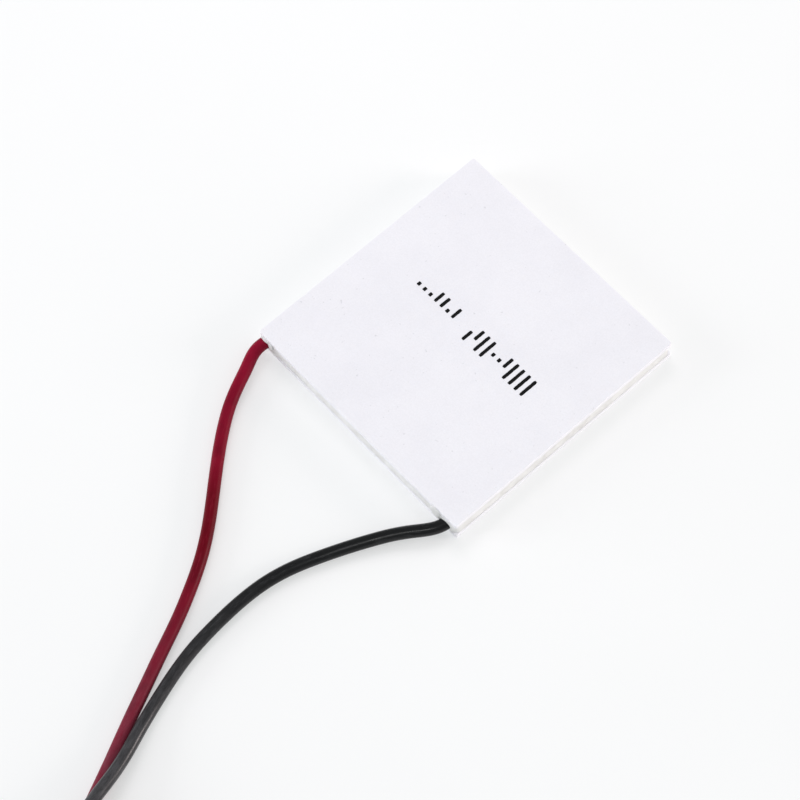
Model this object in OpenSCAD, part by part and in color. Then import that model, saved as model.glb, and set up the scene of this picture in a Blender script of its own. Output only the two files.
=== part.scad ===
// Thermoelectric cooling module: two ceramic plates with an electrical series of
// bismuth telluride pellets between them, sealed round the rim, with two soldered leads.
// The module lies flat, hot plate down; the leads leave on the -Y side.

/* [Plates] */
// Width of both plates, along the side that the leads leave from
plate_w = 40; // [37:0.5:48]
// Depth of both plates, away from the leads
plate_d = 40; // [37:0.5:48]
// Thickness of the hot plate, at the bottom
hot_plate_t = 0.8; // [0.6:0.05:1.2]
// Thickness of the cold plate, on top
cold_plate_t = 0.8; // [0.5:0.05:1.5]
// Radius of the plates' upright corners
plate_corner_r = 0.3; // [0.1:0.05:0.5]

/* [Pellets] */
// Columns of pellet places along the lead side, an even number
columns = 16; // [12:2:18]
// Rows of pellet places away from the lead side
rows = 16; // [12:1:18]
// Side of a square pellet
pellet_w = 1.4; // [1:0.05:1.6]
// Height of a pellet
pellet_h = 1.6; // [1.4:0.05:2.4]
// From the middle of the outermost pellets to the plates' edges
edge_margin = 2; // [1.7:0.05:2.6]

/* [Copper tabs] */
// Thickness of the copper tabs
tab_t = 0.3; // [0.2:0.05:0.5]
// How far a tab reaches past its pellets on every side
tab_overhang = 0.2; // [0.1:0.05:0.3]

/* [Rim seal] */
// How far the seal sits in from the plates' edges
seal_recess = 0.1; // [0.05:0.05:0.4]
// Depth of the hollow along the seal's outer face
seal_hollow = 0.1; // [0.05:0.05:0.3]

/* [Leads] */
// Outside diameter of a lead
lead_d = 1.8; // [1.4:0.1:2]
// Diameter of the tinned conductor in it
wire_d = 0.9; // [0.5:0.1:1.1]
// Bare length of the free ends
tip_l = 7; // [4:0.5:9]
// Cover of solder over the conductor at the joints
solder_cover = 0.15; // [0.05:0.05:0.3]

/* [Hidden] */
// Clearances: tab field to seal, seal to lead and conductor, lead end to pad, tie to coils
seal_gap = 0.05;
channel_gap = 0.1;
wire_gap = 0.05;
strip_gap = 0.2;
tie_gap = 0.1;
// Height of a lead's underside over the hot plate where it passes the rim
lead_rest = 0.05;

round_fn = 48;
tube_sides = 8;

// Levels from the bottom up
hot_tab_z = hot_plate_t;
pellet_z = hot_tab_z + tab_t;
cold_tab_z = pellet_z + pellet_h;
cold_plate_z = cold_tab_z + tab_t;
plate_gap = cold_plate_z - hot_plate_t;

// The field of pellet places
pitch_x = (plate_w - 2 * edge_margin) / (columns - 1);
pitch_y = (plate_d - 2 * edge_margin) / (rows - 1);
tab_w = pellet_w + 2 * tab_overhang;
places = columns * rows;

// Column and row of place s on the serpentine, which goes up one column and down the next
function column_of(s) = floor(s / rows);
function step_of(s) = s % rows;
function row_of(s) = column_of(s) % 2 == 0 ? step_of(s) : rows - 1 - step_of(s);
function place(s) = [
    edge_margin - plate_w / 2 + pitch_x * column_of(s),
    edge_margin - plate_d / 2 + pitch_y * row_of(s)
];

// The seal's outer and inner outlines
seal_outer = [plate_w - 2 * seal_recess, plate_d - 2 * seal_recess];
seal_inner_inset = edge_margin - tab_w / 2 - seal_gap;
seal_inner = [plate_w - 2 * seal_inner_inset, plate_d - 2 * seal_inner_inset];
hollow_r = (pow(plate_gap / 2, 2) + pow(seal_hollow, 2)) / (2 * seal_hollow);

// Where the leads end inside the rim, and the height at which they pass it
lead_edge_y = -plate_d / 2;
strip_y = edge_margin - tab_w / 2 - strip_gap;
lead_exit_z = hot_plate_t + lead_rest + lead_d / 2;
wire_run = tab_w + strip_gap;
solder_r = lead_exit_z + wire_d / 2 + solder_cover - pellet_z;

// First points of a lead, as steps inward and outward from its corner of the plates
red_exit_steps = [[1.2, strip_y], [0.95, -0.45], [1.13, -2.05]];
black_exit_steps = [[1.9, strip_y], [2.1, -0.45], [2.75, -2]];

// The rest of a lead's route: x, y from the lead side, height of its underside
red_floor_steps = [
    [-18.05, -4, 0.62], [-16.9, -6.6, 0.36], [-15.35, -9.6, 0.14], [-13.1, -12.8, 0.02],
    [-10.4, -16, 0], [-7.2, -19.5, 0], [-3.9, -23.15, 0], [-0.95, -26.95, 0],
    [1.55, -31, 0], [3.8, -35.2, 0], [5.85, -39.6, 0], [8, -44.1, 0],
    [10.1, -48.5, 0], [12.2, -52.7, 0], [14.25, -56.85, 0.03], [15.8, -60, 0.18]
];
black_floor_steps = [
    [15.8, -4, 0.7], [14.35, -6.1, 0.52], [12.85, -8.8, 0.32], [11.45, -11.65, 0.14],
    [10.05, -14.9, 0.02], [8.7, -18.6, 0], [7.75, -22.8, 0], [7.5, -27.2, 0],
    [7.75, -31.8, 0], [8.35, -36.4, 0], [9.5, -41, 0], [10.8, -44.95, 0.03],
    [12.3, -48.75, 0.42], [13.85, -52.3, 0.95], [15.15, -56, 1.55], [16.2, -59.8, 2.06]
];

// The stored coil: each lead has two full turns and part of a third, red below black
coil_centre = [32.5, lead_edge_y - 65.5];
coil_middle_r = 10.7;
coil_outer_r = coil_middle_r + lead_d;
coil_inner_r = coil_middle_r - lead_d;
coil_heading = -63.5;
coil_entry_l = 9;
// The straight stretch is a little thinner, so that it sinks into the coil's flat faces
entry_inset = 0.03;
red_third_turn = 281;
black_third_turn = 321;
tip_bend_r = 5;
tip_turn = tip_l / tip_bend_r * 180 / PI;

// The tie round both coils
tie_t = 0.3;
tie_w = 2.2;
tie_at = 150;
tie_end_d = 1;
tie_end_l = 5;
coil_lift = tie_t + tie_gap;
coil_w = coil_outer_r - coil_inner_r + lead_d;
coil_h = 2 * lead_d;

// The coil's first tangent point, and where a lead runs straight into the coil
heading = [cos(coil_heading), sin(coil_heading)];
tangent_point = coil_centre + coil_outer_r * [heading.y, -heading.x];
coil_entry = tangent_point - coil_entry_l * heading;

function layer_z(layer) = coil_lift + lead_d * (layer + 0.5);

// Whole routes of the two leads, from the solder joints to the coil
function exit_route(side, steps) = [
    for (p = steps) [side * (plate_w / 2 - p.x), lead_edge_y + p.y, lead_exit_z]
];
function floor_route(steps) = [
    for (p = steps) [p.x, lead_edge_y + p.y, p.z + lead_d / 2]
];
function lead_route(side, exit_steps, floor_steps, layer) = concat(
    exit_route(side, exit_steps),
    floor_route(floor_steps),
    [[coil_entry.x, coil_entry.y, layer_z(layer)]]
);
red_route = lead_route(-1, red_exit_steps, red_floor_steps, 0);
black_route = lead_route(1, black_exit_steps, black_floor_steps, 1);

// Names of the nodes: pellets are kept by row and by type
types = ["n", "p"];
function pellet_node(type, row) = str(type, "_pellets_row_", row < 9 ? "0" : "", row + 1);

// Direction from one point to another, of length 1
function unit(v) = v / norm(v);

// Outline of a rectangle with round corners, centred
module rounded_rect(size, r) {
    square([size.x - 2 * r, size.y], center = true);
    square([size.x, size.y - 2 * r], center = true);
    for (x = [-1, 1], y = [-1, 1])
        translate([x * (size.x / 2 - r), y * (size.y / 2 - r)])
            circle(r = r, $fn = round_fn);
}

// Straight rod between two points
module rod(a, b, r) {
    v = b - a;
    translate(a)
        rotate([0, acos(v.z / norm(v)), atan2(v.y, v.x)])
            cylinder(r = r, h = norm(v), $fn = round_fn);
}

// Tube swept along a route, with a ring of corners at each point and a set way at its end
module swept_tube(route, r, end_way) {
    last = len(route) - 1;
    function along(i) = i == last ? end_way : unit(route[i + 1] - route[max(i - 1, 0)]);
    function across(i) = unit(cross(along(i), [0, 0, 1]));
    function ring(i) = [
        for (k = [0:tube_sides - 1])
            let (a = (k + 0.5) * 360 / tube_sides)
                route[i] + r * (cos(a) * across(i) + sin(a) * cross(across(i), along(i)))
    ];
    corners = [for (i = [0:last], p = ring(i)) p];
    sides = [
        for (i = [0:last - 1], k = [0:tube_sides - 1])
            let (j = (k + 1) % tube_sides, low = i * tube_sides, high = low + tube_sides)
                [low + k, low + j, high + j, high + k]
    ];
    first_end = [for (k = [0:tube_sides - 1]) tube_sides - 1 - k];
    last_end = [for (k = [0:tube_sides - 1]) last * tube_sides + k];
    polyhedron(corners, concat(sides, [first_end, last_end]), convexity = 10);
}

// A bare ceramic plate
module ceramic_plate(z, t) {
    color([0.95, 0.94, 0.95])
        translate([0, 0, z])
            linear_extrude(t)
                rounded_rect([plate_w, plate_d], plate_corner_r);
}

// One copper tab lying over two neighbouring places
module tab(s, z) {
    a = place(s);
    b = place(s + 1);
    low = [min(a.x, b.x), min(a.y, b.y)] - [tab_w, tab_w] / 2;
    size = [abs(a.x - b.x), abs(a.y - b.y)] + [tab_w, tab_w];
    color([0.80, 0.52, 0.36])
        translate([low.x, low.y, z])
            cube([size.x, size.y, tab_t]);
}

// Tabs on the hot plate join every even place to the next; the end ones are the pads
module hot_tabs() {
    for (s = [2:2:places - 4])
        tab(s, hot_tab_z);
}

// Tabs on the cold plate join every odd place to the next
module cold_tabs() {
    for (s = [1:2:places - 3])
        tab(s, cold_tab_z);
}

// Pellets of one type in one row; the two end places of the serpentine hold none
module pellets(type, row) {
    remainder = type == "n" ? 1 : 0;
    tint = type == "n" ? [0.38, 0.38, 0.42] : [0.28, 0.29, 0.32];
    color(tint)
        for (s = [1:places - 2])
            if (row_of(s) == row && s % 2 == remainder)
                translate([place(s).x - pellet_w / 2, place(s).y - pellet_w / 2, pellet_z])
                    cube([pellet_w, pellet_w, pellet_h]);
}

// Bare end of a conductor, from where its insulation stops to over its pad
function wire_inner_end(route) = route[0] + wire_run * unit(route[0] - route[1]);

module wire_end(route) {
    color([0.80, 0.80, 0.78])
        rod(route[0], wire_inner_end(route), wire_d / 2);
}

// Domed joint of solder on a pad, round the conductor
module solder_joint(s, route) {
    color([0.72, 0.73, 0.74])
        difference() {
            intersection() {
                translate([place(s).x, place(s).y, pellet_z])
                    sphere(r = solder_r, $fn = round_fn);
                translate([place(s).x - tab_w / 2, place(s).y - tab_w / 2, pellet_z])
                    cube([tab_w, tab_w, plate_gap]);
            }
            rod(route[0], wire_inner_end(route), wire_d / 2);
        }
}

// Channels that a lead and its conductor leave in the seal
module lead_channel(route) {
    way = unit(route[1] - route[0]);
    rod(route[0] - lead_d / 2 * way, route[1] + lead_d / 2 * way, lead_d / 2 + channel_gap);
    rod(route[0], wire_inner_end(route) - wire_run * way, wire_d / 2 + wire_gap);
}

// Long round hollow along one side of the seal, for its sunken outer face
module seal_groove(length, offset) {
    translate([-length / 2, -offset - hollow_r + seal_hollow, hot_plate_t + plate_gap / 2])
        rotate([0, 90, 0])
            cylinder(r = hollow_r, h = length, $fn = round_fn);
}

// Silicone seal between the plates' rims
module rim_seal() {
    color([0.93, 0.93, 0.93])
        difference() {
            translate([0, 0, hot_plate_t])
                linear_extrude(plate_gap)
                    difference() {
                        rounded_rect(seal_outer, plate_corner_r);
                        square(seal_inner, center = true);
                    }
            for (turn = [0, 180]) {
                rotate(turn)
                    seal_groove(2 * plate_w, seal_outer.y / 2);
                rotate(turn + 90)
                    seal_groove(2 * plate_d, seal_outer.x / 2);
            }
            lead_channel(red_route);
            lead_channel(black_route);
        }
}

// Outline of turns lying side by side, round at the radii given and flat in between
module turns_outline(inner_r, outer_r, round_at) {
    for (r = round_at)
        translate([r, 0])
            circle(d = lead_d, $fn = round_fn);
    translate([inner_r, -lead_d / 2])
        square([outer_r - inner_r, lead_d]);
}

// One lead's layer of the stored coil, with the straight stretch that runs into it
module coiled_lead(layer, third_turn) {
    z = [0, 0, layer_z(layer)];
    translate([coil_centre.x, coil_centre.y, layer_z(layer)])
        rotate(coil_heading - 90) {
            rotate_extrude($fn = 2 * round_fn)
                turns_outline(coil_middle_r, coil_outer_r, [coil_middle_r, coil_outer_r]);
            rotate_extrude(angle = third_turn, $fn = 2 * round_fn)
                turns_outline(coil_inner_r, coil_outer_r - lead_d / 2, [coil_inner_r]);
        }
    rod(
        [coil_entry.x, coil_entry.y, 0] + z,
        [tangent_point.x, tangent_point.y, 0] + z,
        lead_d / 2 - entry_inset
    );
}

// Bare tinned end of a lead, curving on where the third turn stops
module lead_tip(layer, third_turn) {
    color([0.80, 0.80, 0.78])
        translate([coil_centre.x, coil_centre.y, layer_z(layer)])
            rotate(coil_heading - 90 + third_turn)
                translate([coil_inner_r - tip_bend_r, 0, 0])
                    rotate_extrude(angle = tip_turn, $fn = 2 * round_fn)
                        translate([tip_bend_r, 0])
                            circle(d = wire_d, $fn = round_fn);
}

// Band round both coils, with its two ends twisted together outside them
module coil_tie() {
    inner = [coil_w + 2 * tie_gap, coil_h + 2 * tie_gap];
    outer = inner + 2 * [tie_t, tie_t];
    inner_corner = lead_d / 2;
    color([0.12, 0.12, 0.12])
        translate([coil_centre.x, coil_centre.y, coil_lift + coil_h / 2])
            rotate(coil_heading - 90 + tie_at)
                translate([coil_middle_r, 0, 0]) {
                    rotate([90, 0, 0])
                        linear_extrude(tie_w, center = true)
                            difference() {
                                rounded_rect(outer, inner_corner + tie_t);
                                rounded_rect(inner, inner_corner);
                            }
                    rod(
                        [outer.x / 2 - tie_t / 2, 0, 0],
                        [outer.x / 2 + tie_end_l, 0, 0],
                        tie_end_d / 2
                    );
                }
}

module red_lead() {
    color([0.60, 0.08, 0.17])
        swept_tube(red_route, lead_d / 2, [heading.x, heading.y, 0]);
}

module black_lead() {
    color([0.13, 0.13, 0.14])
        swept_tube(black_route, lead_d / 2, [heading.x, heading.y, 0]);
}

module red_coil() {
    color([0.60, 0.08, 0.17])
        coiled_lead(0, red_third_turn);
}

module black_coil() {
    color([0.13, 0.13, 0.14])
        coiled_lead(1, black_third_turn);
}

ceramic_plate(0, hot_plate_t);  // hot_plate
ceramic_plate(cold_plate_z, cold_plate_t);  // cold_plate
rim_seal();
hot_tabs();
cold_tabs();
tab(0, hot_tab_z);  // red_pad
tab(places - 2, hot_tab_z);  // black_pad
wire_end(red_route);  // red_wire_end
wire_end(black_route);  // black_wire_end
solder_joint(0, red_route);  // red_solder_joint
solder_joint(places - 1, black_route);  // black_solder_joint
red_lead();
black_lead();
red_coil();
black_coil();
lead_tip(0, red_third_turn);  // red_tip
lead_tip(1, black_third_turn);  // black_tip
coil_tie();
for (type = types, row = [0:rows - 1])
    pellets(type, row);
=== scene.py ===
"""Looks of a thermoelectric cooling module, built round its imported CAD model, in metres."""

import math
import random

import bmesh
import bpy
import numpy as np
from mathutils import Matrix, Vector, noise


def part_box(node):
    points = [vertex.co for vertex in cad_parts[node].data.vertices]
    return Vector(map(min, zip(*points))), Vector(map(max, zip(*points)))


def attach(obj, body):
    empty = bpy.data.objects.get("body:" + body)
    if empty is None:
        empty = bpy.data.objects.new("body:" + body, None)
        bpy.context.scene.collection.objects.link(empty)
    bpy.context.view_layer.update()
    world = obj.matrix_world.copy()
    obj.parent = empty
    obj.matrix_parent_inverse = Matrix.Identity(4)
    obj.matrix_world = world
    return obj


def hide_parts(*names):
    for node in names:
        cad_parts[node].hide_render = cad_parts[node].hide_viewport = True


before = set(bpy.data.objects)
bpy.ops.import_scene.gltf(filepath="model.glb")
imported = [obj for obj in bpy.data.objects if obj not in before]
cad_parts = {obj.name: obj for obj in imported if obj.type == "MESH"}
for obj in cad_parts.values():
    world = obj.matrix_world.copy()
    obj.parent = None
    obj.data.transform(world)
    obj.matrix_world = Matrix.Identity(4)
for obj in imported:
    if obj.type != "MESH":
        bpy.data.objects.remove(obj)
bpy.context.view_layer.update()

MM = 0.001
WELD_REACH = 0.0001 * MM

# The plates and the seal, as the frame has them
HOT_LOW, HOT_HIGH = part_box("hot_plate")
COLD_LOW, COLD_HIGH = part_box("cold_plate")
SEAL_LOW, SEAL_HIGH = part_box("rim_seal")
LEAD_EDGE_Y = HOT_LOW.y
PLATE_CORNER_R = 0.3 * MM

# The leads: their whole length has the bare tip in it
LEAD_D = 1.8 * MM
LEAD_SHOWN = 90 * MM
TIP_D = 0.9 * MM
TIP_L = 7 * MM
TIP_BEND_R = 5 * MM
LEAD_EXIT_Z = HOT_HIGH.z + 0.05 * MM + LEAD_D / 2
RED_SIDE, BLACK_SIDE = -1, 1
RED_LAYER, BLACK_LAYER = 0, 1

# First points of a lead in mm, as steps inward and outward from its corner of the plates
RED_EXIT_STEPS = [(1.2, 0.9), (0.95, -0.45), (1.13, -2.05)]
BLACK_EXIT_STEPS = [(1.9, 0.9), (2.1, -0.45), (2.75, -2)]

# The rest of a lead's route in mm: x, y from the lead side, height of its underside
RED_FLOOR_STEPS = [
    (-18.05, -4, 0.62), (-16.9, -6.6, 0.36), (-15.35, -9.6, 0.14), (-13.1, -12.8, 0.02),
    (-10.4, -16, 0), (-7.2, -19.5, 0), (-3.9, -23.15, 0), (-0.95, -26.95, 0),
    (1.55, -31, 0), (3.8, -35.2, 0), (5.85, -39.6, 0), (8, -44.1, 0),
    (10.1, -48.5, 0), (12.2, -52.7, 0), (14.25, -56.85, 0.03), (15.8, -60, 0.18),
]
BLACK_FLOOR_STEPS = [
    (15.8, -4, 0.7), (14.35, -6.1, 0.52), (12.85, -8.8, 0.32), (11.45, -11.65, 0.14),
    (10.05, -14.9, 0.02), (8.7, -18.6, 0), (7.75, -22.8, 0), (7.5, -27.2, 0),
    (7.75, -31.8, 0), (8.35, -36.4, 0), (9.5, -41, 0), (10.8, -44.95, 0.03),
    (12.3, -48.75, 0.42), (13.85, -52.3, 0.95), (15.15, -56, 1.55), (16.2, -59.8, 2.06),
]

# The stored coil, red lead below black, and its tie
COIL_CENTRE = Vector((32.5 * MM, LEAD_EDGE_Y - 65.5 * MM, 0))
COIL_MIDDLE_R = 10.7 * MM
COIL_OUTER_R = COIL_MIDDLE_R + LEAD_D
COIL_INNER_R = COIL_MIDDLE_R - LEAD_D
COIL_HEADING = math.radians(-63.5)
COIL_START = COIL_HEADING - math.pi / 2
COIL_ENTRY_L = 9 * MM
COIL_LIFT = 0.4 * MM
COIL_STEP = math.radians(12)
RED_THIRD_TURN = math.radians(281)
BLACK_THIRD_TURN = math.radians(321)
# A lead steps in to its next turn over this last part of the turn before
STEP_IN_ARC = math.radians(80)
TIE_AT = COIL_START + math.radians(150)
TIE_T = 0.3 * MM
TIE_W = 2.2 * MM
TIE_GAP = 0.1 * MM
TIE_END_L = 5 * MM
# Away from its tie the coil settles this much, over this angle
COIL_SETTLE = 0.33 * MM
COIL_SETTLE_ARC = math.radians(70)

# The seal: how deep it is, the corner of its outline, and how far a lump may stand out
SEAL_DEPTH = 1.3 * MM
SEAL_CORNER_R = 0.9 * MM
LUMP_LIMIT = 0.33 * MM
# Lumps of the seal's face: x, z, how far out, width and height, in mm
SEAL_LUMPS = [
    (16.3, 2.75, 0.34, 1.1, 0.4), (-19.4, 2.7, 0.3, 0.8, 0.5),
    (-17.2, 1.2, 0.22, 0.7, 0.6), (1.2, 2.7, 0.2, 1.6, 0.35),
]
# Dabs of silicone beside the leads: x, z and half sizes in mm
SILICONE_DABS = [(16.2, 2.55, (1.15, 0.42, 1.1)), (-17.75, 2.3, (0.45, 0.2, 0.75))]

# The batch mark: bars on a line, with a gap in it
MARK_MIDDLE = Vector((0.6 * MM, 1.0 * MM))
MARK_SPAN = 22 * MM
MARK_BARS = 20
MARK_GAP = (7, 8)
BAR_TALL = 3 * MM
BAR_W = 0.5 * MM
INK_FILM = 0.012 * MM

# Camera: its bearing, height and roll are in degrees
CAMERA_TARGET = Vector((-0.43 * MM, -11.76 * MM, 0))
CAMERA_AZIMUTH, CAMERA_ELEVATION, CAMERA_ROLL = -36.98, 64.34, -5.5
CAMERA_DISTANCE = 410.7 * MM
CAMERA_LENS = 135

# Soft lights: name, azimuth and elevation in degrees, distance and size in metres, watts, colour,
# and whether they make highlights
SOFTBOXES = [
    ("warm_key", 50, 13, 0.8, 0.27, 3.3, (1.0, 0.88, 0.85), True),
    ("cool_fill", -132, 15, 0.8, 0.35, 2.6, (0.97, 0.985, 1.0), True),
    ("front_fill", -110, 45, 0.8, 0.4, 0.37, (1.0, 0.75, 0.95), True),
    ("camera_light", -40, 66, 0.8, 0.14, 0.85, (1.0, 1.0, 1.0), True),
    ("back_fill", 143, 55, 0.4, 0.2, 0.39, (1.0, 0.92, 0.95), False),
]
SURROUND_COLOUR = (0.93, 1, 1, 1)
SURROUND_STRENGTH = 0.5
FLOOR_REACH = 3.0
FLOOR_DROP = 0.02 * MM


# ---------------------------------------------------------------- mesh tools

def loft(name, rings, loop=False, weld=False):
    """Skin over rings of corners. A loop joins the last ring to the first; otherwise both ends close.

    Weld merges corners that fall on one spot, where rings run together.
    """
    count, sides = len(rings), len(rings[0])
    corners = np.concatenate(rings).tolist()
    faces = []
    for i in range(count if loop else count - 1):
        low, high = i * sides, (i + 1) % count * sides
        for k in range(sides):
            j = (k + 1) % sides
            faces.append((low + k, low + j, high + j, high + k))
    if not loop:
        first, last = len(corners), len(corners) + 1
        corners += [rings[0].mean(0).tolist(), rings[-1].mean(0).tolist()]
        top = (count - 1) * sides
        faces += [((k + 1) % sides, k, first) for k in range(sides)]
        faces += [(top + k, top + (k + 1) % sides, last) for k in range(sides)]
    mesh = bpy.data.meshes.new(name)
    mesh.from_pydata(corners, [], faces)
    skin = bmesh.new()
    skin.from_mesh(mesh)
    if weld:
        bmesh.ops.remove_doubles(skin, verts=skin.verts, dist=WELD_REACH)
        bmesh.ops.dissolve_degenerate(skin, edges=skin.edges, dist=WELD_REACH)
    bmesh.ops.recalc_face_normals(skin, faces=skin.faces)
    skin.to_mesh(mesh)
    skin.free()
    piece = bpy.data.objects.new(name, mesh)
    bpy.context.scene.collection.objects.link(piece)
    return piece


def finish_piece(piece, material, replaces=(), smooth_under=None):
    """Gives a piece its material, shading and body, and hides the CAD nodes it stands for."""
    piece.data.materials.append(material)
    if smooth_under is not None:
        piece.data.shade_smooth()
        piece.data.set_sharp_from_angle(angle=math.radians(smooth_under))
    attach(piece, "root")
    if replaces:
        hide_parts(*replaces)
    return piece


def smooth_path(points, step):
    """Evenly spaced points on the natural cubic spline through the points."""
    points = np.array(points, float)
    chords = np.linalg.norm(np.diff(points, axis=0), axis=1)
    at = np.concatenate([[0], np.cumsum(chords)])
    count = len(points)
    system, pull = np.eye(count), np.zeros((count, 3))
    for i in range(1, count - 1):
        before, after = chords[i - 1], chords[i]
        system[i, i - 1:i + 2] = before, 2 * (before + after), after
        slopes = (points[i + 1] - points[i]) / after - (points[i] - points[i - 1]) / before
        pull[i] = 6 * slopes
    bend = np.linalg.solve(system, pull)
    fine = np.linspace(0, at[-1], 12 * count + 1)
    span = np.clip(np.searchsorted(at, fine) - 1, 0, count - 2)
    width = chords[span][:, None]
    right = (at[span + 1] - fine)[:, None]
    left = (fine - at[span])[:, None]
    curve = (
        bend[span] * right ** 3 / (6 * width) + bend[span + 1] * left ** 3 / (6 * width)
        + (points[span] / width - bend[span] * width / 6) * right
        + (points[span + 1] / width - bend[span + 1] * width / 6) * left
    )
    return evenly_spaced(curve, step)


def evenly_spaced(curve, step):
    """The same line with its points one step apart."""
    runs = np.concatenate([[0], np.cumsum(np.linalg.norm(np.diff(curve, axis=0), axis=1))])
    wanted = np.linspace(0, runs[-1], max(2, round(runs[-1] / step) + 1))
    return np.stack([np.interp(wanted, runs, curve[:, axis]) for axis in range(3)], axis=1)


def path_frames(path):
    """Tangent, side and top directions along a path, carried on without twist."""
    tangents = np.gradient(path, axis=0)
    tangents /= np.linalg.norm(tangents, axis=1)[:, None]
    side = np.cross(tangents[0], (0, 0, 1))
    sides, tops = [], []
    for tangent in tangents:
        side = side - tangent * (side @ tangent)
        side /= np.linalg.norm(side)
        sides.append(side)
        tops.append(np.cross(side, tangent))
    return tangents, np.array(sides), np.array(tops)


def bumpy(x, y, z, scale):
    """Smooth noise from -1 to 1 at a place in metres, with features of about one scale."""
    return noise.noise(Vector((x, y, z)) / scale)


# ----------------------------------------------------------------- materials

class Material:
    """A principled material, with short calls for the nodes that vary it."""

    def __init__(self, name, **sockets):
        self.material = bpy.data.materials.new(name)
        self.material.use_nodes = True
        self.nodes = self.material.node_tree.nodes
        self.links = self.material.node_tree.links
        self.shader = self.nodes["Principled BSDF"]
        self.place = self.nodes.new("ShaderNodeTexCoord").outputs["Object"]
        for socket, value in sockets.items():
            self.set(socket.replace("_", " "), value)

    def set(self, socket, value):
        """Sets a socket of the shader to a value, or links a node's output to it."""
        target = self.shader.inputs[socket]
        if isinstance(value, bpy.types.NodeSocket):
            self.links.new(value, target)
        elif isinstance(value, tuple) and len(value) == 3 and socket != "Subsurface Radius":
            target.default_value = (*value, 1)
        else:
            target.default_value = value

    def use_straight(self):
        """Textures then follow a lead as if it lay straight: round it in x and y, along it in z."""
        attribute = self.nodes.new("ShaderNodeAttribute")
        attribute.attribute_name = "straight"
        self.place = attribute.outputs["Vector"]

    def along(self, length):
        """How far a point lies along a lead, as a share of a length."""
        split = self.nodes.new("ShaderNodeSeparateXYZ")
        self.links.new(self.place, split.inputs["Vector"])
        share = self.nodes.new("ShaderNodeMath")
        share.operation = "MULTIPLY"
        share.inputs[1].default_value = 1 / length
        self.links.new(split.outputs["Z"], share.inputs[0])
        return share.outputs[0]

    def stretched(self, x, y, z):
        """Place, scaled differently along the axes."""
        mapping = self.nodes.new("ShaderNodeMapping")
        mapping.inputs["Scale"].default_value = (x, y, z)
        self.links.new(self.place, mapping.inputs["Vector"])
        return mapping.outputs["Vector"]

    def noise(self, size, detail=4.0, rough=0.55, place=None):
        """Cloudy grey with features of about a size in metres."""
        node = self.nodes.new("ShaderNodeTexNoise")
        node.inputs["Scale"].default_value = 1 / size
        node.inputs["Detail"].default_value = detail
        node.inputs["Roughness"].default_value = rough
        self.links.new(place or self.place, node.inputs["Vector"])
        return node.outputs["Fac"]

    def cells(self, size, output="Distance"):
        """Crystal or grain pattern with cells of about a size in metres."""
        node = self.nodes.new("ShaderNodeTexVoronoi")
        node.inputs["Scale"].default_value = 1 / size
        self.links.new(self.place, node.inputs["Vector"])
        return node.outputs[output]

    def ramp(self, factor, *stops):
        """Colour from a grey, by (place, colour) stops; a plain number stands for a grey."""
        node = self.nodes.new("ShaderNodeValToRGB")
        elements = node.color_ramp.elements
        while len(elements) < len(stops):
            elements.new(0.5)
        for element, (at, colour) in zip(elements, stops):
            element.position = at
            rgb = colour if isinstance(colour, tuple) else (colour,) * 3
            element.color = (*rgb, 1)
        self.links.new(factor, node.inputs["Fac"])
        return node.outputs["Color"]

    def blend(self, factor, low, high, mode="MIX"):
        """Mix of two colours, each a tuple or a node's output, by a factor."""
        node = self.nodes.new("ShaderNodeMix")
        node.data_type = "RGBA"
        node.blend_type = mode
        colours = [socket for socket in node.inputs if socket.type == "RGBA"]
        for socket, value in [(node.inputs[0], factor), (colours[0], low), (colours[1], high)]:
            if isinstance(value, bpy.types.NodeSocket):
                self.links.new(value, socket)
            else:
                socket.default_value = (*value, 1) if isinstance(value, tuple) else value
        return next(socket for socket in node.outputs if socket.type == "RGBA")

    def relief(self, *layers):
        """Bump from (height, depth in metres) layers, each on top of the one before."""
        under = None
        for height, depth in layers:
            node = self.nodes.new("ShaderNodeBump")
            node.inputs["Strength"].default_value = 1
            node.inputs["Distance"].default_value = depth
            self.links.new(height, node.inputs["Height"])
            if under is not None:
                self.links.new(under, node.inputs["Normal"])
            under = node.outputs["Normal"]
        self.links.new(under, self.shader.inputs["Normal"])


def ceramic():
    """White fired alumina: fine grain, faint clouds and a few darker specks."""
    m = Material("ceramic", Subsurface_Weight=0.12, Subsurface_Scale=0.5 * MM, IOR=1.6)
    m.set("Subsurface Radius", (1.0, 0.95, 0.9))
    clouds = m.ramp(m.noise(9 * MM, 3), (0.35, (0.890, 0.882, 0.928)), (0.65, (0.918, 0.910, 0.955)))
    grain = m.ramp(m.noise(0.22 * MM, 2), (0.3, 0.95), (0.7, 1.0))
    specks = m.ramp(m.noise(0.5 * MM, 1), (0.215, 0.86), (0.25, 1.0))
    colour = m.blend(1.0, clouds, grain, "MULTIPLY")
    m.set("Base Color", m.blend(1.0, colour, specks, "MULTIPLY"))
    m.set("Roughness", m.ramp(m.noise(2.5 * MM, 4), (0.3, 0.42), (0.7, 0.56)))
    m.relief((m.noise(6 * MM, 2), 0.02 * MM), (m.noise(0.12 * MM, 3), 0.004 * MM))
    return m.material


def silicone():
    """Milky cured silicone, smoothed by a finger, with small pits and dust."""
    m = Material("silicone", Subsurface_Weight=0.35, Subsurface_Scale=0.6 * MM, IOR=1.41)
    m.set("Subsurface Radius", (1.0, 1.0, 0.95))
    m.set("Base Color", m.ramp(
        m.noise(1.6 * MM, 4),
        (0.3, (0.70, 0.69, 0.68)), (0.55, (0.80, 0.80, 0.79)), (0.75, (0.84, 0.84, 0.84)),
    ))
    m.set("Roughness", m.ramp(m.noise(0.9 * MM, 3), (0.3, 0.28), (0.7, 0.5)))
    m.relief((m.noise(0.8 * MM, 3), 0.05 * MM), (m.noise(0.15 * MM, 2), 0.01 * MM))
    return m.material


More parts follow.
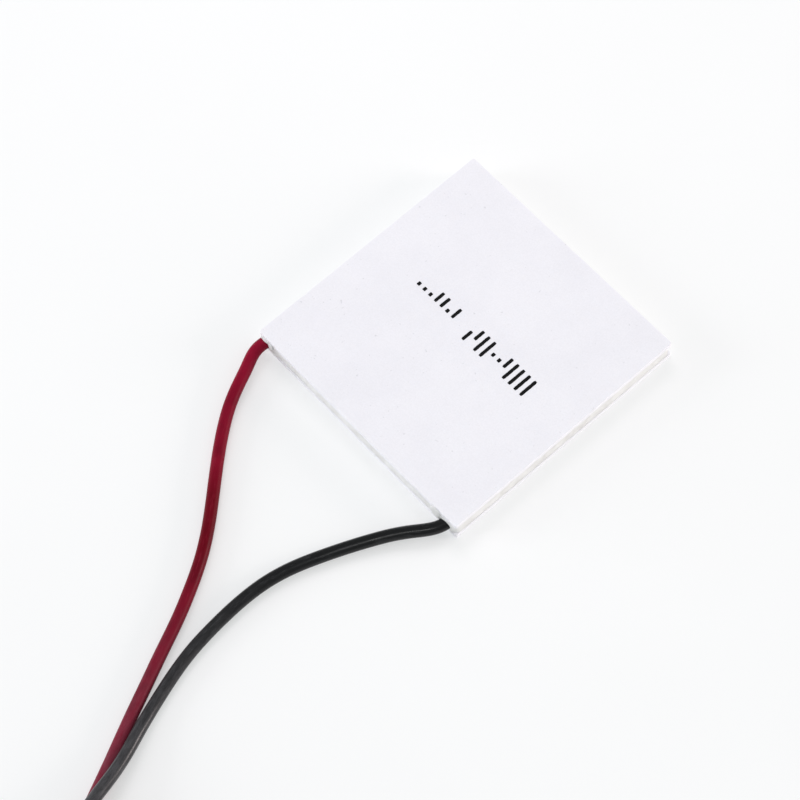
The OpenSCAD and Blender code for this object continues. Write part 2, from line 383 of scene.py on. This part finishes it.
def copper():
    """Bare copper tab with a brushed face and a little oxide."""
    m = Material("copper", Metallic=1.0)
    m.set("Base Color", m.ramp(
        m.noise(1.1 * MM, 4),
        (0.3, (0.50, 0.22, 0.13)), (0.5, (0.80, 0.42, 0.28)), (0.8, (0.88, 0.52, 0.36)),
    ))
    m.set("Roughness", m.ramp(m.noise(0.5 * MM, 3), (0.3, 0.22), (0.7, 0.45)))
    m.relief((m.noise(0.3 * MM, 3, place=m.stretched(1, 14, 1)), 0.006 * MM))
    return m.material


def telluride(name, dark, light):
    """Sawn semiconductor crystal: flat grains with saw lines across them."""
    m = Material(name, Metallic=0.75)
    grains = m.cells(0.45 * MM, "Color")
    m.set("Base Color", m.blend(m.noise(0.3 * MM), m.blend(grains, dark, light), light))
    m.set("Roughness", m.ramp(m.noise(0.2 * MM, 3), (0.3, 0.35), (0.7, 0.6)))
    streaks = m.noise(0.12 * MM, 2, place=m.stretched(1, 1, 9))
    m.relief((streaks, 0.006 * MM), (m.cells(0.45 * MM), 0.01 * MM))
    return m.material


def solder():
    """Solder that froze with a frosty skin and a few flux stains."""
    m = Material("solder", Metallic=1.0)
    m.set("Base Color", m.ramp(
        m.noise(0.7 * MM, 4),
        (0.28, (0.38, 0.33, 0.26)), (0.42, (0.60, 0.60, 0.60)), (0.7, (0.76, 0.77, 0.78)),
    ))
    m.set("Roughness", m.ramp(m.noise(0.25 * MM, 3), (0.3, 0.2), (0.7, 0.42)))
    m.relief((m.cells(0.2 * MM), 0.012 * MM))
    return m.material


def tinned():
    """Tinned wire, bright on the strands and duller in the valleys between them."""
    m = Material("tinned_copper", Metallic=1.0)
    m.set("Base Color", m.ramp(
        m.noise(0.35 * MM, 4),
        (0.3, (0.50, 0.46, 0.40)), (0.5, (0.72, 0.71, 0.68)), (0.8, (0.84, 0.83, 0.80)),
    ))
    m.set("Roughness", m.ramp(m.noise(0.3 * MM, 3), (0.3, 0.18), (0.7, 0.38)))
    m.relief((m.noise(0.1 * MM, 3), 0.006 * MM))
    return m.material


def insulation(name, tones, worn, pale_tint, paling_from, paling_most, rough_low, rough_high, gloss):
    """Extruded insulation: lengthwise draw lines, worn patches, and a paler tint mixed in patches
    further out along the lead.

    Tones are (place in mm along the lead, colour) pairs.
    """
    m = Material(name, IOR=1.5, Specular_IOR_Level=gloss)
    m.use_straight()
    along = m.along(LEAD_SHOWN)
    draw_lines = m.noise(0.28 * MM, 3, place=m.stretched(1, 1, 0.03))
    patches = m.noise(3.2 * MM, 4, 0.6, place=m.stretched(1, 1, 0.45))
    scuffs = m.ramp(m.noise(0.35 * MM, 4, 0.65, place=m.stretched(1, 1, 0.16)), (0.56, 0.0), (0.72, 0.5))
    tone = m.ramp(along, *[(at * MM / LEAD_SHOWN, colour) for at, colour in tones])
    tone = m.blend(1.0, tone, m.ramp(patches, (0.32, 0.72), (0.5, 1.0), (0.7, 1.08)), "MULTIPLY")
    tone = m.blend(scuffs, tone, worn)
    # Further out along the lead the colour is mixed towards a paler tint in noise patches. The tint is
    # strongest at 0.72 of the shown length and weaker again by its end.
    paling_share = m.ramp(along, (paling_from * MM / LEAD_SHOWN, 0.0), (0.72, paling_most), (1.0, paling_most / 4))
    paling_patches = m.ramp(m.noise(0.5 * MM, 4, 0.7, place=m.stretched(1, 1, 0.3)), (0.35, 0.35), (0.65, 1.0))
    m.set("Base Color", m.blend(m.blend(1.0, paling_share, paling_patches, "MULTIPLY"), tone, pale_tint))
    wear = m.noise(1.1 * MM, 4, place=m.stretched(1, 1, 0.3))
    m.set("Roughness", m.ramp(wear, (0.3, rough_low), (0.7, rough_high)))
    m.relief((patches, 0.03 * MM), (draw_lines, 0.012 * MM), (m.noise(0.14 * MM, 2), 0.004 * MM))
    return m.material


def tie_plastic():
    """Matt coating of a twist tie, with the fine ribs of its rolled paper core."""
    m = Material("tie_plastic")
    m.set("Base Color", m.ramp(m.noise(0.6 * MM, 4), (0.3, 0.012), (0.6, 0.022), (0.8, 0.05)))
    m.set("Roughness", m.ramp(m.noise(0.4 * MM, 3), (0.3, 0.42), (0.7, 0.62)))
    m.relief((m.noise(0.18 * MM, 3), 0.02 * MM))
    return m.material


def ink():
    """Black stamped ink, thin in places."""
    m = Material("ink", Specular_IOR_Level=0.1)
    m.set("Base Color", m.ramp(m.noise(0.16 * MM, 3), (0.3, 0.005), (0.62, 0.009), (0.74, 0.05)))
    m.set("Roughness", m.ramp(m.noise(0.5 * MM, 3), (0.3, 0.4), (0.7, 0.55)))
    m.relief((m.noise(0.12 * MM, 2), 0.004 * MM))
    return m.material


def floor_panel():
    """White diffusing panel, lit a little from below."""
    m = Material("floor_panel", IOR=1.45, Emission_Color=(0.985, 1.0, 1.0), Emission_Strength=0.38)
    m.set("Base Color", m.ramp(
        m.noise(60 * MM, 3), (0.3, (0.57, 0.57, 0.57)), (0.7, (0.583, 0.583, 0.583)),
    ))
    m.set("Roughness", m.ramp(m.noise(4 * MM, 3), (0.3, 0.62), (0.7, 0.72)))
    m.relief((m.noise(0.5 * MM, 3), 0.004 * MM))
    return m.material


# --------------------------------------------------------------------- leads

def settled(angle):
    """How far the coil has sunk at an angle: not at all at the tie, fully away from it."""
    away = abs((angle - TIE_AT + math.pi) % (2 * math.pi) - math.pi)
    share = min(1, away / COIL_SETTLE_ARC)
    return COIL_SETTLE * share * share * (3 - 2 * share)


def coil_radius(turned):
    """Radius of a lead in the coil after it has turned so far, stepping in late in each turn."""
    radius = COIL_OUTER_R
    for turn in (1, 2):
        share = min(1, max(0, (turned - turn * 2 * math.pi) / STEP_IN_ARC + 1))
        radius -= LEAD_D * share * share * (3 - 2 * share)
    return radius


def coil_point(turned, layer):
    """Place of a lead's centre in the coil after it has turned so far."""
    angle = COIL_START + turned
    radius = coil_radius(turned)
    height = COIL_LIFT + LEAD_D * (layer + 0.5) - settled(angle)
    return COIL_CENTRE + Vector((radius * math.cos(angle), radius * math.sin(angle), height))


def lead_route(side, exit_steps, floor_steps, layer, third_turn):
    """Points of a lead from inside the seal to where its insulation ends in the coil."""
    route = [(side * (HOT_HIGH.x - x * MM), LEAD_EDGE_Y + y * MM, LEAD_EXIT_Z) for x, y in exit_steps]
    route += [(x * MM, LEAD_EDGE_Y + y * MM, z * MM + LEAD_D / 2) for x, y, z in floor_steps]
    start = coil_point(0, layer)
    heading = Vector((math.cos(COIL_HEADING), math.sin(COIL_HEADING), 0))
    route += [tuple(start - heading * COIL_ENTRY_L * share) for share in (1, 0.66, 0.33)]
    turns = 4 * math.pi + third_turn
    steps = math.ceil(turns / COIL_STEP)
    route += [tuple(coil_point(turns * i / steps, layer)) for i in range(steps + 1)]
    return route


def lead(name, route, material, replaces):
    """A lead's insulation: a drawn tube with a cut end that the bare wire comes out of."""
    step, sides = 0.45 * MM, 28
    path = smooth_path(route, step)
    tangents, across, tops = path_frames(path)
    turn = np.linspace(0, 2 * math.pi, sides, endpoint=False)
    radius = LEAD_D / 2

    # Stations along the path: (point, radius), going back into the hole at the cut end
    last = len(path) - 1
    stations = [(i, 0, radius) for i in range(last)]
    rim, hole_depth = 0.06 * MM, 0.5 * MM
    hole = TIP_D / 2 + 0.02 * MM
    stations += [(last, -rim, radius), (last, 0, radius - rim)]
    stations += [(last, 0, hole), (last, -hole_depth, hole)]
    rings, straight = [], []
    for i, back, r in stations:
        along = i * step + back
        centre = path[i] + tangents[i] * back
        full = r == radius
        ring, unrolled = [], []
        for a in turn:
            x, y = math.cos(a), math.sin(a)
            drawn = 1 + 0.008 * bumpy(x, y, along / (2.6 * MM), 1) if full else 1
            ring.append(centre + r * drawn * (x * across[i] + y * tops[i]))
            unrolled.append((radius * x, radius * y, along))
        rings.append(np.array(ring))
        straight += unrolled
    piece = loft(name, rings)
    straight += [(0, 0, 0), (0, 0, last * step)]
    attribute = piece.data.attributes.new("straight", "FLOAT_VECTOR", "POINT")
    attribute.data.foreach_set("vector", np.array(straight, np.float32).ravel())
    finish_piece(piece, material, replaces, smooth_under=50)
    return piece, path


def bare_tip(name, layer, third_turn, material, replaces):
    """The tinned end of a lead: twisted strands under a skin of solder, curving on from the coil."""
    strands, twist_l, sides = 8, 7 * MM, 48
    dome_l, deepest_groove = 0.35 * MM, 0.075
    angle = COIL_START + third_turn
    outward = Vector((math.cos(angle), math.sin(angle), 0))
    centre = COIL_CENTRE + outward * (COIL_INNER_R - TIP_BEND_R)
    height = coil_point(4 * math.pi + third_turn, layer).z
    reach, inside = TIP_L / TIP_BEND_R, 0.4 * MM / TIP_BEND_R
    bend_x, bend_y = centre.x, centre.y
    path = np.array([
        (bend_x + TIP_BEND_R * math.cos(angle + a), bend_y + TIP_BEND_R * math.sin(angle + a), height)
        for a in np.linspace(-inside, reach, 60)
    ])
    _, across, tops = path_frames(path)
    runs = np.concatenate([[0], np.cumsum(np.linalg.norm(np.diff(path, axis=0), axis=1))])
    rings = []
    for i, point in enumerate(path):
        left = (runs[-1] - runs[i]) / dome_l
        dome = math.sqrt(max(0.02, 1 - max(0, 1 - left) ** 2))
        groove = deepest_groove * min(1, left / 3)
        ring = []
        for a in np.linspace(0, 2 * math.pi, sides, endpoint=False):
            wave = abs(math.cos(strands / 2 * (a + 2 * math.pi * runs[i] / twist_l)))
            r = TIP_D / 2 * dome * (1 - groove * (1 - wave ** 0.6))
            ring.append(point + r * (math.cos(a) * across[i] + math.sin(a) * tops[i]))
        rings.append(np.array(ring))
    piece = loft(name, rings)
    return finish_piece(piece, material, replaces, smooth_under=70)


# ----------------------------------------------------------------------- tie

def tie_section(offset):
    """Half thickness of the tie at an offset from its middle: a round wire between flat wings."""
    wing, wire, reach = 0.055 * MM, 0.095 * MM, 0.3 * MM
    return wing + wire * math.exp(-((offset / reach) ** 2))


def tie_band(material):
    """The tie's band round both coils, drawn over their round sides."""
    width = COIL_OUTER_R - COIL_INNER_R + LEAD_D + 2 * TIE_GAP + TIE_T
    height = 2 * LEAD_D + 2 * TIE_GAP + TIE_T
    corner = LEAD_D / 2 + TIE_T / 2
    outline = rounded_outline(width, height, corner, 0.25 * MM)
    out = Vector((math.cos(TIE_AT), math.sin(TIE_AT), 0))
    along = Vector((-math.sin(TIE_AT), math.cos(TIE_AT), 0))
    middle = COIL_CENTRE + out * COIL_MIDDLE_R + Vector((0, 0, COIL_LIFT + LEAD_D))
    across = np.linspace(-TIE_W / 2, TIE_W / 2, 15)
    rings = []
    for (x, z), (nx, nz) in outline:
        slack = 0.03 * MM * bumpy(x, z, 3, 1.5 * MM)
        ring = []
        for face, offsets in ((1, across), (-1, across[::-1])):
            for offset in offsets:
                wave = 0.05 * MM * bumpy(x, z, offset, 0.8 * MM)
                lift = face * tie_section(offset) - max(0, slack)
                edge = offset + (wave if abs(offset) > TIE_W * 0.45 else 0)
                point = middle + out * (x + nx * lift) + Vector((0, 0, z + nz * lift)) + along * edge
                ring.append(tuple(point))
        rings.append(np.array(ring))
    piece = loft("tie_band", rings, loop=True)
    return finish_piece(piece, material, ["coil_tie"], smooth_under=60)


def tie_twist(material):
    """The tie's two ends, twisted round each other outside the coil and parting at their tips."""
    out = np.array([math.cos(TIE_AT), math.sin(TIE_AT), 0])
    along = np.array([-math.sin(TIE_AT), math.cos(TIE_AT), 0])
    up = np.array([0, 0, 1.0])
    middle = np.array(COIL_CENTRE) + up * (COIL_LIFT + LEAD_D)
    start = COIL_MIDDLE_R + LEAD_D * 1.5 + TIE_GAP + TIE_T * 0.4
    pitch, orbit = 2.4 * MM, 0.2 * MM
    thick, wide = 0.19 * MM, 0.4 * MM
    run = TIE_END_L - 0.4 * MM
    pieces = []
    for number, phase in enumerate((0, math.pi)):
        rings = []
        for share in np.linspace(0, 1, 64):
            turn = phase + 2 * math.pi * share * TIE_END_L / pitch
            radial = math.cos(turn) * along + math.sin(turn) * up
            tangential = -math.sin(turn) * along + math.cos(turn) * up
            part = max(0, share - 0.82) * 1.1 * MM
            centre = middle + out * (start + share * run) + radial * (orbit + part)
            blunt = min(1, 0.55 + 12 * min(share, 1 - share))
            ring = [
                centre + blunt * (thick * math.cos(a) * radial + wide * math.sin(a) * tangential)
                for a in np.linspace(0, 2 * math.pi, 16, endpoint=False)
            ]
            rings.append(np.array(ring))
        piece = loft(f"tie_end_{number + 1}", rings)
        pieces.append(finish_piece(piece, material, smooth_under=60))
    return pieces


# -------------------------------------------------------------------- plates

def rounded_outline(width, depth, corner, step):
    """Points round a rounded rectangle with their outward directions, about one step apart."""
    half_w, half_d = width / 2 - corner, depth / 2 - corner
    points = []
    centres = [(half_w, half_d), (-half_w, half_d), (-half_w, -half_d), (half_w, -half_d)]
    for quarter, (cx, cy) in enumerate(centres):
        bend_steps = max(3, round(corner * math.pi / 2 / step))
        for i in range(bend_steps + 1):
            a = (quarter + i / bend_steps) * math.pi / 2
            way = (math.cos(a), math.sin(a))
            points.append(((cx + corner * way[0], cy + corner * way[1]), way))
        run = 2 * (half_w if quarter % 2 == 0 else half_d)
        way = (math.cos((quarter + 1) * math.pi / 2), math.sin((quarter + 1) * math.pi / 2))
        onward = (-way[1], way[0])
        run_steps = max(2, round(run / step))
        x, y = points[-1][0]
        for i in range(1, run_steps):
            far = run * i / run_steps
            points.append(((x + onward[0] * far, y + onward[1] * far), way))
    return points


def cut_plate(node, seed, material):
    """A ceramic plate with its sawn rim: a crisp, slightly ragged edge with small chips."""
    low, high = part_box(node)
    draw = random.Random(seed)
    outline = rounded_outline(high.x - low.x, high.y - low.y, PLATE_CORNER_R, 0.22 * MM)
    count = len(outline)
    chips = {0: np.zeros(count), 1: np.zeros(count)}
    chip_count, chip_reach = 46, 5
    for _ in range(chip_count):
        face, at = draw.randrange(2), draw.randrange(count)
        reach, depth = draw.uniform(1, 2.6), draw.uniform(0.03, 0.11) * MM
        for i in range(-chip_reach, chip_reach + 1):
            chips[face][(at + i) % count] += depth * math.exp(-((i / reach) ** 2))
    thickness = high.z - low.z
    nip = 0.035 * MM
    # Levels from the bottom: (height, inset, share of the chips of the bottom and of the top face)
    levels = [
        (0, nip, 1.0, 0), (nip, 0, 0.7, 0),
        (0.3 * thickness, 0, 0, 0), (0.52 * thickness, 0.012 * MM, 0, 0),
        (0.75 * thickness, 0, 0, 0), (thickness - nip, 0, 0, 0.7), (thickness, nip, 0, 1.0),
    ]
    rings = []
    for height, inset, bottom_chip, top_chip in levels:
        ring = []
        for i, ((x, y), (nx, ny)) in enumerate(outline):
            chip = bottom_chip * chips[0][i] + top_chip * chips[1][i]
            rough = 0.011 * MM * (1 + bumpy(x, y, height, 0.35 * MM))
            back = inset + chip + rough
            ring.append((x - nx * back, y - ny * back, low.z + height))
        rings.append(np.array(ring))
    piece = loft(node + "_cut", rings)
    return finish_piece(piece, material, [node], smooth_under=25)


# ---------------------------------------------------------------------- seal

def seal_bead(material, exits):
    """The silicone between the plates: a hand-smoothed bead with lumps, and collars round the leads."""
    width, length = SEAL_HIGH.x - SEAL_LOW.x, SEAL_HIGH.y - SEAL_LOW.y
    outline = rounded_outline(width, length, SEAL_CORNER_R, 0.3 * MM)
    low, high = HOT_HIGH.z, COLD_LOW.z
    shares = np.linspace(0, 1, 13)
    # Lumps along the side of the leads: (x, y, z, how far out, width, height)
    lumps = [
        (x * MM, LEAD_EDGE_Y, z * MM, far * MM, wide * MM, tall * MM)
        for x, z, far, wide, tall in SEAL_LUMPS
    ]
    collar_out, collar_wide, collar_tall = 0.42 * MM, 1.25 * MM, 1.1 * MM
    lumps += [(x, y, z, collar_out, collar_wide, collar_tall) for x, y, z in exits]
    rings = []
    for (x, y), (nx, ny) in outline:
        ring = []
        for share in shares:
            z = low + (high - low) * share
            hollow = 0.1 * MM * (1 - (2 * share - 1) ** 2)
            slow = 0.04 * MM * bumpy(x, y, z * 0.4, 4.5 * MM)
            quick = 0.02 * MM * bumpy(x, y, z, 0.9 * MM)
            out = -hollow + slow + quick
            for lx, ly, lz, far, wide, tall in lumps:
                gap = ((x - lx) ** 2 + (y - ly) ** 2) / wide ** 2 + (z - lz) ** 2 / tall ** 2
                if gap < 9:
                    out += far * math.exp(-gap)
            out = min(out, LUMP_LIMIT)
            ring.append((x + nx * out, y + ny * out, z))
        for share in shares[::-1]:
            z = low + (high - low) * share
            inner_x = max(-1, min(1, x / (SEAL_HIGH.x - SEAL_CORNER_R))) * (SEAL_HIGH.x - SEAL_DEPTH)
            inner_y = max(-1, min(1, y / (SEAL_HIGH.y - SEAL_CORNER_R))) * (SEAL_HIGH.y - SEAL_DEPTH)
            ring.append((inner_x, inner_y, z))
        rings.append(np.array(ring))
    piece = loft("seal_bead", rings, loop=True, weld=True)
    return finish_piece(piece, material, ["rim_seal"], smooth_under=60)


def silicone_dab(name, centre, reach, seed, material):
    """Silicone squeezed out over the plates' side beside a lead: a low, uneven blister."""
    levels, sides = 18, 28
    rings = []
    for i in range(1, levels):
        lift = math.pi * i / levels
        ring = []
        for k in range(sides):
            turn = 2 * math.pi * k / sides
            flat = math.sin(lift)
            way = Vector((flat * math.cos(turn), flat * math.sin(turn), math.cos(lift)))
            swell = 1 + 0.2 * noise.noise(way * 1.3 + Vector((seed, 0, 0))) + 0.05 * noise.noise(way * 4)
            ring.append(tuple(centre + Vector(w * r for w, r in zip(way, reach)) * swell))
        rings.append(np.array(ring))
    piece = loft(name, rings)
    return finish_piece(piece, material, smooth_under=60)


# ---------------------------------------------------------------- batch mark

def batch_mark(material):
    """A plain stamped mark in place of print: upright bars of four kinds, along the cold plate."""
    draw = random.Random(11)
    steps, sunk = 10, 0.002 * MM
    corners, faces = [], []
    for i in range(MARK_BARS):
        x = MARK_MIDDLE.x - MARK_SPAN / 2 + MARK_SPAN * i / (MARK_BARS - 1)
        up, down = draw.choice([(1, 1), (1, 0.2), (0.2, 1), (0.2, 0.2)])
        if i in MARK_GAP:
            continue
        top, bottom = MARK_MIDDLE.y + up * BAR_TALL / 2, MARK_MIDDLE.y - down * BAR_TALL / 2
        edge = []
        for side, order in ((1, range(steps + 1)), (-1, range(steps, -1, -1))):
            for k in order:
                y = bottom + (top - bottom) * k / steps
                end = 0.75 if k in (0, steps) else 1
                wobble = 0.035 * MM * bumpy(x, y, side, 0.35 * MM)
                edge.append((x + side * (BAR_W / 2 * end + wobble), y))
        first = len(corners)
        corners += [(px, py, COLD_HIGH.z - sunk) for px, py in edge]
        corners += [(px, py, COLD_HIGH.z + INK_FILM) for px, py in edge]
        n = len(edge)
        faces.append(tuple(first + k for k in reversed(range(n))))
        faces.append(tuple(first + n + k for k in range(n)))
        for k in range(n):
            j = (k + 1) % n
            faces.append((first + k, first + j, first + n + j, first + n + k))
    mesh = bpy.data.meshes.new("batch_mark")
    mesh.from_pydata(corners, [], faces)
    piece = bpy.data.objects.new("batch_mark", mesh)
    bpy.context.scene.collection.objects.link(piece)
    return finish_piece(piece, material)


# ----------------------------------------------------------- camera and light

def aimed(obj, target, azimuth, elevation, distance, roll=0):
    """Puts a camera or a lamp at a bearing from a target, looking at it. Azimuth 0 is +X."""
    a, e = math.radians(azimuth), math.radians(elevation)
    back = Vector((math.cos(a) * math.cos(e), math.sin(a) * math.cos(e), math.sin(e)))
    turn = (-back).to_track_quat("-Z", "Y").to_matrix() @ Matrix.Rotation(math.radians(roll), 3, "Z")
    obj.matrix_world = Matrix.Translation(target + back * distance) @ turn.to_4x4()


def make_camera():
    """A long lens above the black lead's corner, with the plates turned in the view."""
    camera = bpy.data.objects.new("camera", bpy.data.cameras.new("camera"))
    camera.data.lens = CAMERA_LENS
    camera.data.sensor_width = 36
    camera.data.clip_start, camera.data.clip_end = 0.01, 20
    bpy.context.scene.collection.objects.link(camera)
    aimed(camera, CAMERA_TARGET, CAMERA_AZIMUTH, CAMERA_ELEVATION, CAMERA_DISTANCE, CAMERA_ROLL)
    bpy.context.scene.camera = camera


def softbox(name, azimuth, elevation, distance, size, power, colour, glossy):
    """A square soft light that looks at the module. Without glossy it makes no highlights."""
    lamp = bpy.data.lights.new(name, "AREA")
    lamp.shape, lamp.size, lamp.energy, lamp.color = "SQUARE", size, power, colour
    obj = bpy.data.objects.new(name, lamp)
    bpy.context.scene.collection.objects.link(obj)
    obj.visible_glossy = glossy
    aimed(obj, Vector((0, LEAD_EDGE_Y, 0)), azimuth, elevation, distance)


def make_studio():
    """White floor, a pale surround and soft lights: warm from the right, cool from the left."""
    mesh = bpy.data.meshes.new("floor")
    corners = [(x * FLOOR_REACH, y * FLOOR_REACH, 0) for x, y in ((-1, -1), (1, -1), (1, 1), (-1, 1))]
    mesh.from_pydata(corners, [], [(0, 1, 2, 3)])
    floor = bpy.data.objects.new("floor", mesh)
    floor.location.z = -FLOOR_DROP
    mesh.materials.append(floor_panel())
    bpy.context.scene.collection.objects.link(floor)
    world = bpy.data.worlds.new("surround")
    world.use_nodes = True
    world.node_tree.nodes["Background"].inputs["Color"].default_value = SURROUND_COLOUR
    world.node_tree.nodes["Background"].inputs["Strength"].default_value = SURROUND_STRENGTH
    bpy.context.scene.world = world
    for settings in SOFTBOXES:
        softbox(*settings)
    bpy.context.scene.view_settings.view_transform = "Standard"


# -------------------------------------------------------------- whole module

make_camera()
make_studio()

TINNED = tinned()
RED = insulation(
    "red_insulation",
    [
        (4, (0.245, 0.004, 0.024)), (20, (0.205, 0.003, 0.018)), (25, (0.130, 0.001, 0.008)),
        (33, (0.130, 0.001, 0.008)), (40, (0.165, 0.004, 0.016)), (60, (0.175, 0.006, 0.022)),
    ],
    worn=(0.24, 0.015, 0.035), pale_tint=(0.30, 0.25, 0.30), paling_from=40, paling_most=0.13,
    rough_low=0.34, rough_high=0.5, gloss=0.08,
)
BLACK = insulation(
    "black_insulation",
    [(4, (0.005, 0.005, 0.0055)), (30, (0.006, 0.006, 0.0065)), (60, (0.008, 0.008, 0.0085))],
    worn=(0.045, 0.045, 0.048), pale_tint=(0.28, 0.27, 0.29), paling_from=26, paling_most=0.24,
    rough_low=0.2, rough_high=0.36, gloss=0.24,
)
TIE = tie_plastic()

tie_pieces = [tie_band(TIE), *tie_twist(TIE)]

for colour, side, exit_steps, floor_steps, layer, third_turn, material, extra in (
    (
        "red", RED_SIDE, RED_EXIT_STEPS, RED_FLOOR_STEPS,
        RED_LAYER, RED_THIRD_TURN, RED, [],
    ),
    (
        "black", BLACK_SIDE, BLACK_EXIT_STEPS, BLACK_FLOOR_STEPS,
        BLACK_LAYER, BLACK_THIRD_TURN, BLACK, tie_pieces,
    ),
):
    route = lead_route(side, exit_steps, floor_steps, layer, third_turn)
    piece, path = lead(
        colour + "_lead_cord", route, material,
        [colour + "_lead", colour + "_coil"],
    )
    tip = bare_tip(colour + "_tinned_end", layer, third_turn, TINNED, [colour + "_tip"])

CERAMIC = ceramic()
cut_plate("hot_plate", 3, CERAMIC)
cut_plate("cold_plate", 8, CERAMIC)
SILICONE = silicone()
seal_bead(SILICONE, [
    (side * (HOT_HIGH.x - steps[1][0] * MM), LEAD_EDGE_Y, LEAD_EXIT_Z)
    for side, steps in ((RED_SIDE, RED_EXIT_STEPS), (BLACK_SIDE, BLACK_EXIT_STEPS))
])
for number, (x, z, reach) in enumerate(SILICONE_DABS):
    middle = Vector((x * MM, LEAD_EDGE_Y, z * MM))
    silicone_dab(f"silicone_dab_{number + 1}", middle, Vector(reach) * MM, number * 7, SILICONE)
batch_mark(ink())

INSIDE = {
    "tabs": copper(),
    "pad": copper(),
    "wire_end": TINNED,
    "solder_joint": solder(),
    "n_pellets": telluride("n_type_telluride", (0.10, 0.10, 0.12), (0.24, 0.24, 0.27)),
    "p_pellets": telluride("p_type_telluride", (0.06, 0.06, 0.075), (0.16, 0.16, 0.18)),
}
for name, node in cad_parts.items():
    for kind, material in INSIDE.items():
        if kind in name:
            node.data.materials.clear()
            node.data.materials.append(material)
